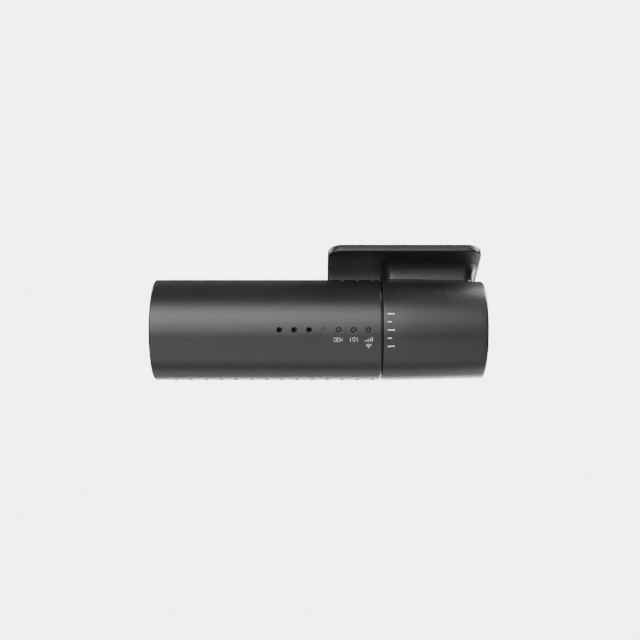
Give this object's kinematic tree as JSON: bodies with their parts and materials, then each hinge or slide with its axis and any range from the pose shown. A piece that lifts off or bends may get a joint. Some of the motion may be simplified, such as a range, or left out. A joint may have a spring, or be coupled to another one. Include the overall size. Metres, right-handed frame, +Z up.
{
  "type": "dash camera",
  "caption": "Tube-shaped dash camera plugged into a windshield bracket, with a tilted adhesive plate, a turning sleeve joint, speaker holes, status lights and cooling slots.",
  "frame": {"origin": "middle of the adhesive face that sticks to the windshield", "axes": "X along the camera's tube from its socket end to the bracket's closed end; +Y forwards out through the windshield; +Z up, with the windshield sloping down forwards by 28 degrees"},
  "size_m": [0.1178, 0.0422, 0.0482],
  "materials": {
    "shell": "fine satin texture",
    "adhesive": "closed-cell foam tape",
    "inner_plastic": "plain moulded",
    "screw_steel": "plated",
    "spring_steel": "bright spring steel",
    "button_plastic": "satin",
    "seal_rubber": "smooth",
    "cap_plastic": "fine satin texture",
    "dark_screw": "black plated",
    "circuit_board": "solder mask",
    "chip": "moulded package",
    "thermal_pad": "soft pad",
    "heat_sink": "raw",
    "shield_can": "tin plated",
    "antenna_ceramic": "unglazed",
    "capacitor_sleeve": "shrink sleeve",
    "jack_plastic": "moulded",
    "contact_metal": "plated",
    "switch_body": "moulded",
    "light_window": "smoked clear",
    "led": "diffuse lens",
    "speaker_cone": "pressed film",
    "speaker_cloth": "fine woven",
    "bezel": "polished",
    "barrel": "black anodised",
    "lens_glass": "coated",
    "sensor_glass": "cover glass",
    "ribbon": "flexible film",
    "memory_card": "moulded",
    "sim_card": "printed card"
  },
  "bodies": {
    "bracket": {"bracket_shell": "shell", "adhesive_pad": "adhesive", "latch_plate": "inner_plastic", "latch_screws": "screw_steel", "latch_spring": "spring_steel", "click_spring": "spring_steel", "hub_washer": "screw_steel", "hub_screw": "screw_steel", "release_spring": "spring_steel"},
    "release_button": {"release_button": "button_plastic"},
    "index_ring": {"index_ring": "inner_plastic"},
    "memory_card": {"memory_card": "memory_card"},
    "sim_card": {"sim_card": "sim_card"},
    "function_button": {"function_button": "button_plastic"},
    "camera": {"camera_tube": "shell", "spigot": "inner_plastic", "friction_ring": "seal_rubber", "port_cap": "cap_plastic", "cap_screws": "dark_screw", "chassis": "inner_plastic", "main_board": "circuit_board", "board_screws": "screw_steel", "processor": "chip", "thermal_pad": "thermal_pad", "heat_sink": "heat_sink", "radio_module": "shield_can", "antenna_board": "circuit_board", "antenna_patch": "antenna_ceramic", "storage_capacitors": "capacitor_sleeve", "memory_socket": "shield_can", "sim_socket": "shield_can", "supply_jack": "jack_plastic", "supply_jack_pin": "contact_metal", "rear_camera_jack": "jack_plastic", "function_switch": "switch_body", "button_dome": "seal_rubber", "light_pipes": "light_window", "status_leds": "led", "speaker_frame": "jack_plastic", "speaker_cone": "speaker_cone", "speaker_cloth": "speaker_cloth", "lens_bezel": "bezel", "lens_barrel": "barrel", "front_lens": "lens_glass", "rear_lens": "lens_glass", "lens_holder": "jack_plastic", "image_sensor": "sensor_glass", "sensor_board": "circuit_board", "sensor_screws": "screw_steel", "sensor_ribbon": "ribbon", "front_light_window": "light_window", "front_led": "led"}
  },
  "joints": [
    {"name": "camera_tilt", "type": "hinge", "parent": "bracket", "child": "index_ring", "pos_m": [-0.00845, -0.00875, -0.02264], "axis": [1, 0, 0], "range_deg": [-45, 45], "deforming": ["click_spring"]},
    {"name": "camera_detach", "type": "slide", "parent": "index_ring", "child": "camera", "axis": [-1, 0, 0], "range_m": [0, 0.03], "deforming": ["latch_spring"]},
    {"name": "release_press", "type": "slide", "parent": "bracket", "child": "release_button", "axis": [-1, 0, 0], "range_m": [0, 0.0012], "stiffness_N_per_m": 900, "springref_m": -0.0012, "deforming": ["release_spring", "latch_spring"]},
    {"name": "memory_card_slide", "type": "slide", "parent": "camera", "child": "memory_card", "axis": [-1, 0, 0], "range_m": [0, 0.009]},
    {"name": "sim_card_slide", "type": "slide", "parent": "camera", "child": "sim_card", "axis": [-1, 0, 0], "range_m": [0, 0.007]},
    {"name": "function_press", "type": "slide", "parent": "camera", "child": "function_button", "axis": [1, 0, 0], "range_m": [0, 0.0005], "stiffness_N_per_m": 1500, "springref_m": -0.0003, "deforming": ["button_dome"]}
  ]
}
